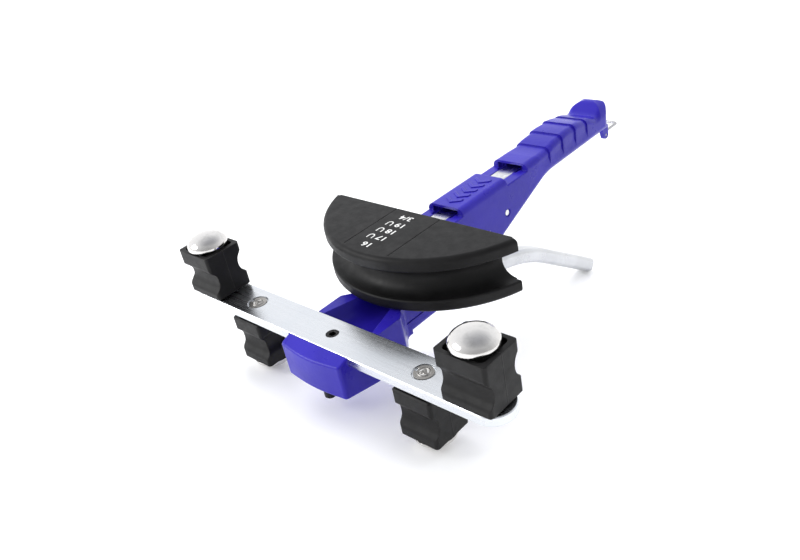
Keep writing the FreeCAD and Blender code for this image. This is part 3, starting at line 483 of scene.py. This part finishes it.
def half_ring(bm, place, inner, outer, leg):
    """Solid U mark, open side up, standing on its round bottom."""
    angles = [math.pi * (1.0 + i / MARK_STEPS) for i in range(MARK_STEPS + 1)]
    path = [(-1.0, 0.0, leg)] + [(math.cos(a), math.sin(a), 0.0) for a in angles] + [(1.0, 0.0, leg)]
    section = ((inner, -PRINT_THICK), (outer, -PRINT_THICK), (outer, PRINT_THICK), (inner, PRINT_THICK))
    rows = [[bm.verts.new((place[0] + x * radius, place[1] + outer + y * radius + up, z))
             for radius, z in section] for x, y, up in path]
    for near, far in zip(rows, rows[1:]):
        for i in range(len(section)):
            j = (i + 1) % len(section)
            bm.faces.new((near[i], near[j], far[j], far[i]))
    bm.faces.new(rows[0])
    bm.faces.new(rows[-1])


def add_size_marks(material):
    """Tube sizes printed between the two lines on the former, to be read from the grip."""
    top = tool_box("forming_former")[1].z
    bm = bmesh.new()
    for y, start, text, ring in PRINT_ROWS:
        row = bmesh.new()
        letters = text_mesh(text, PRINT_SIZE)
        row.from_mesh(letters)
        row.transform(Matrix.Diagonal((PRINT_WIDTH, 1.0, 1.0, 1.0)))
        bpy.data.meshes.remove(letters)
        if ring:
            half_ring(row, MARK_PLACE, MARK_INNER, MARK_OUTER, MARK_LEG)
        row.transform(Matrix.Translation((start, y + PRINT_BASE, top)) @ Matrix.Rotation(math.pi, 4, "Z"))
        mesh = bpy.data.meshes.new("row")
        row.to_mesh(mesh)
        row.free()
        bm.from_mesh(mesh)
        bpy.data.meshes.remove(mesh)
    add_piece("size_marks", bm, "carriage", material, smooth=False)


# Chevrons, in millimetres: the roof they stand on, how many, where along Y, and their heights over it.
ROOF_HEIGHT = 30.2
CHEVRONS = 5
CHEVRON_FIRST, CHEVRON_STEP = 118.5, 7.6
CHEVRON = ((0.0, -3.4), (6.4, 1.2), (6.4, 3.8), (0.0, -0.8), (-6.4, 3.8), (-6.4, 1.2))
CHEVRON_FOOT, CHEVRON_WALL, CHEVRON_TOP = -0.3, 0.35, 0.6
CHEVRON_NARROW, CHEVRON_DRAW = 0.94, 0.10


def add_bridge_chevrons(material):
    """Raised chevrons on the roof between the windows, pointing the way the former travels."""
    bm = bmesh.new()
    corners = len(CHEVRON)
    for number in range(CHEVRONS):
        outline = [(x, CHEVRON_FIRST + CHEVRON_STEP * number + y) for x, y in CHEVRON]
        middle = sum(y for _, y in outline) / corners
        low = [bm.verts.new((x, y, ROOF_HEIGHT + CHEVRON_FOOT)) for x, y in outline]
        mid = [bm.verts.new((x, y, ROOF_HEIGHT + CHEVRON_WALL)) for x, y in outline]
        high = [bm.verts.new((x * CHEVRON_NARROW, y + (middle - y) * CHEVRON_DRAW, ROOF_HEIGHT + CHEVRON_TOP))
                for x, y in outline]
        for first, second in ((low, mid), (mid, high)):
            for i in range(corners):
                j = (i + 1) % corners
                bm.faces.new((first[i], first[j], second[j], second[i]))
        bm.faces.new(high)
        bm.faces.new(low)
    add_piece("bridge_chevrons", bm, "frame", material, smooth=False)


# ------------------------------------------------------------------ stage
FLOOR_HALF = 30.0


def add_floor():
    mesh = bpy.data.meshes.new("floor")
    bm = bmesh.new()
    signs = ((-1, -1), (1, -1), (1, 1), (-1, 1))
    bm.faces.new([bm.verts.new((x * FLOOR_HALF, y * FLOOR_HALF, 0.0)) for x, y in signs])
    bm.to_mesh(mesh)
    bm.free()
    floor = bpy.data.objects.new("floor", mesh)
    bpy.context.scene.collection.objects.link(floor)
    mesh.materials.append(floor_finish())


# Lights, in metres and watts, except the ceiling's power, which is that of a sun lamp.
CEILING_SHINES = Vector((0.34, -0.30, -0.89))
CEILING_POWER = 1.9
CEILING_SPREAD = math.radians(70.0)
LEFT_BOX_PLACE = Vector((-0.9, -1.1, 0.7))
LEFT_BOX_AIM = Vector((0.0, -0.05, 0.05))
LEFT_BOX_SIZE = (0.8, 0.6)
LEFT_BOX_POWER = 10.0
# brightness of the tent round the object, by the height of a direction on the unit sphere
TENT = (
    (0.0, (1.0, 1.0, 1.0)), (0.45, (0.95, 0.96, 0.98)), (0.74, (0.86, 0.87, 0.89)), (1.0, (0.42, 0.43, 0.46)),
)
TENT_BRIGHT_SIDE = (-0.80, 0.60, 0.0)
TENT_FADE = (("From Min", -0.9), ("From Max", 0.3), ("To Min", 0.42), ("To Max", 1.0))
TENT_POWER = 1.30


def add_light(data, direction, place=(0.0, 0.0, 0.0)):
    light = bpy.data.objects.new(data.name, data)
    light.location = place
    light.rotation_mode = "QUATERNION"
    light.rotation_quaternion = direction.to_track_quat("-Z", "Y")
    bpy.context.scene.collection.objects.link(light)
    return light


def add_lights():
    """A wide soft lamp overhead, a box at the left front, and a pale tent all round."""
    ceiling = bpy.data.lights.new("ceiling", "SUN")
    ceiling.energy = CEILING_POWER
    ceiling.angle = CEILING_SPREAD
    # its hard-edged disc would show in the chrome and the bar, so they mirror only the tent and the box
    add_light(ceiling, CEILING_SHINES).visible_glossy = False
    box = bpy.data.lights.new("left_box", "AREA")
    box.shape = "RECTANGLE"
    box.size, box.size_y = LEFT_BOX_SIZE
    box.energy = LEFT_BOX_POWER
    add_light(box, LEFT_BOX_AIM - LEFT_BOX_PLACE, LEFT_BOX_PLACE)
    add_tent()
    bpy.context.scene.view_settings.view_transform = "Standard"


def add_tent():
    """World light: bright round the sides and behind, dimmer overhead and towards the front right."""
    world = bpy.data.worlds.new("studio")
    bpy.context.scene.world = world
    world.use_nodes = True
    nodes = world.node_tree.nodes
    links = world.node_tree.links
    background = nodes["Background"]
    sky = nodes.new("ShaderNodeTexCoord")
    split = nodes.new("ShaderNodeSeparateXYZ")
    band = nodes.new("ShaderNodeValToRGB")
    links.new(sky.outputs["Generated"], split.inputs["Vector"])
    links.new(split.outputs["Z"], band.inputs["Fac"])
    while len(band.color_ramp.elements) < len(TENT):
        band.color_ramp.elements.new(0.5)
    for element, (place, color) in zip(band.color_ramp.elements, TENT):
        element.position = place
        element.color = (*color, 1.0)
    facing = nodes.new("ShaderNodeVectorMath")
    facing.operation = "DOT_PRODUCT"
    facing.inputs[1].default_value = TENT_BRIGHT_SIDE
    links.new(sky.outputs["Generated"], facing.inputs[0])
    fade = nodes.new("ShaderNodeMapRange")
    links.new(facing.outputs["Value"], fade.inputs["Value"])
    for key, number in TENT_FADE:
        fade.inputs[key].default_value = number
    tint = nodes.new("ShaderNodeVectorMath")
    tint.operation = "SCALE"
    links.new(band.outputs["Color"], tint.inputs[0])
    links.new(fade.outputs["Result"], tint.inputs["Scale"])
    links.new(tint.outputs["Vector"], background.inputs["Color"])
    background.inputs["Strength"].default_value = TENT_POWER


add_camera()
add_floor()
add_lights()
paint_nodes()
